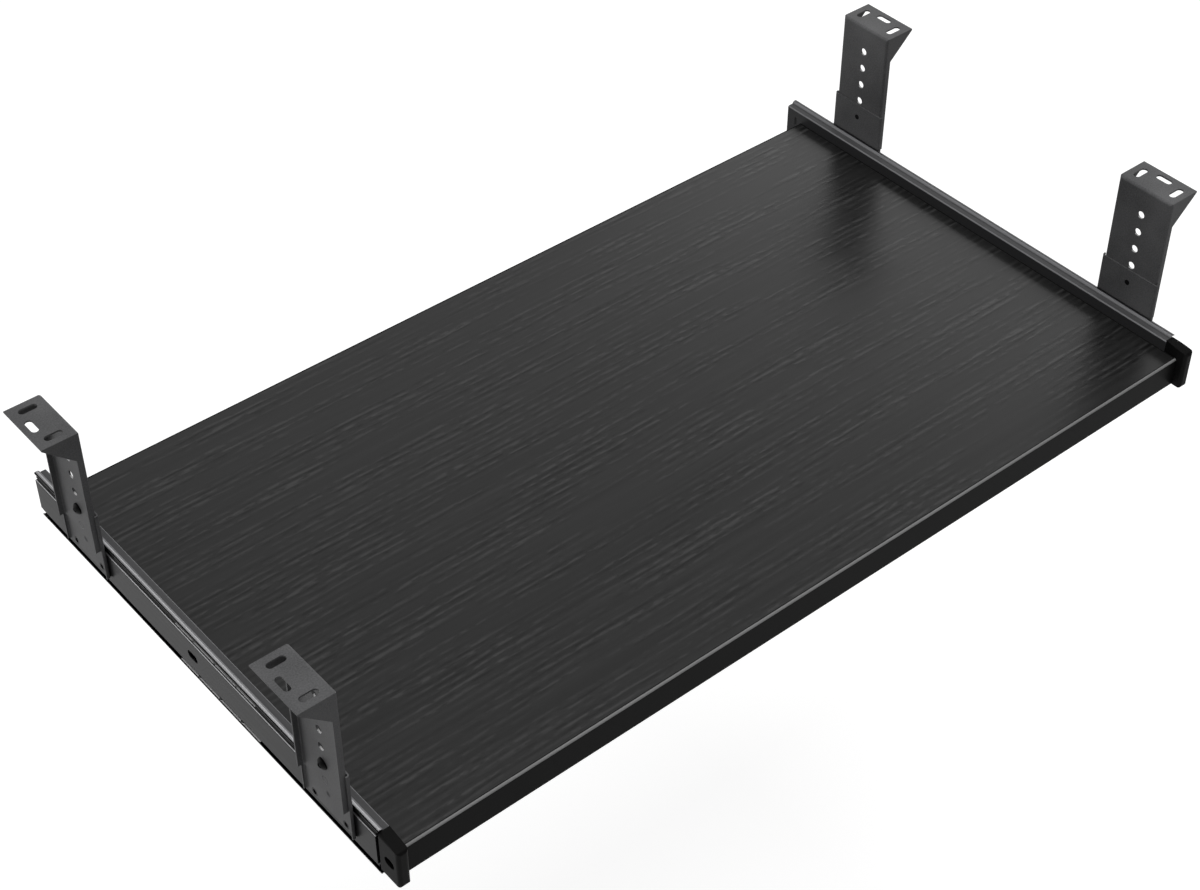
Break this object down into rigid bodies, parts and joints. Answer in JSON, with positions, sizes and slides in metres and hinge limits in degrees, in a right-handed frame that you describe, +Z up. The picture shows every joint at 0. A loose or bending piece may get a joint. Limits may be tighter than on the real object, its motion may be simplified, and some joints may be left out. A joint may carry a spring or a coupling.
{
  "type": "under-desk keyboard tray",
  "caption": "Black wood-grain keyboard tray that hangs under a desk on slotted steel hangers with height holes and pulls out on ball slides with plastic end caps.",
  "frame": {"origin": "in the plane of the desk's underside, midway between the four hangers", "axes": "+Z up, +X to the right as seen by the user, +Y to the back; the tray comes out along -Y"},
  "size_m": [0.731, 0.398, 0.1337],
  "materials": {
    "laminated_board": "satin black wood-grain laminate on a chipboard core",
    "edge_band": "satin black edge banding",
    "dark_rail_steel": "roll-formed steel with a dark grey coat",
    "bright_zinc_steel": "bright zinc plate",
    "ball_steel": "ground and polished",
    "black_plastic": "moulded, fine matte texture",
    "black_coated_steel": "pressed sheet with a satin black coat",
    "black_fastener_steel": "blackened steel"
  },
  "bodies": {
    "desk_frame": {"front_left_hanger": "black_coated_steel", "front_right_hanger": "black_coated_steel", "rear_left_hanger": "black_coated_steel", "rear_right_hanger": "black_coated_steel", "front_left_rail_bracket": "black_coated_steel", "front_right_rail_bracket": "black_coated_steel", "rear_left_rail_bracket": "black_coated_steel", "rear_right_rail_bracket": "black_coated_steel", "left_desk_rail": "dark_rail_steel", "right_desk_rail": "dark_rail_steel", "height_screws": "black_fastener_steel", "bracket_rivets": "black_fastener_steel"},
    "tray": {"tray_board": "laminated_board", "front_edge_band": "edge_band", "rear_edge_band": "edge_band", "left_edge_band": "edge_band", "right_edge_band": "edge_band", "left_tray_rail": "dark_rail_steel", "right_tray_rail": "dark_rail_steel", "left_front_cap": "black_plastic", "right_front_cap": "black_plastic", "tray_screws": "bright_zinc_steel"},
    "left_cage": {"left_ball_cage": "bright_zinc_steel", "left_balls": "ball_steel"},
    "right_cage": {"right_ball_cage": "bright_zinc_steel", "right_balls": "ball_steel"}
  },
  "joints": [
    {"name": "tray_slide", "type": "slide", "parent": "desk_frame", "child": "tray", "axis": [0, -1, 0], "range_m": [0, 0.238]},
    {"name": "left_cage_slide", "type": "slide", "parent": "desk_frame", "child": "left_cage", "axis": [0, -1, 0], "range_m": [0, 0.119]},
    {"name": "right_cage_slide", "type": "slide", "parent": "desk_frame", "child": "right_cage", "axis": [0, -1, 0], "range_m": [0, 0.119]}
  ],
  "couplings": [
    {"joint": "left_cage_slide", "follows": "tray_slide", "ratio": 0.5},
    {"joint": "right_cage_slide", "follows": "tray_slide", "ratio": 0.5}
  ]
}
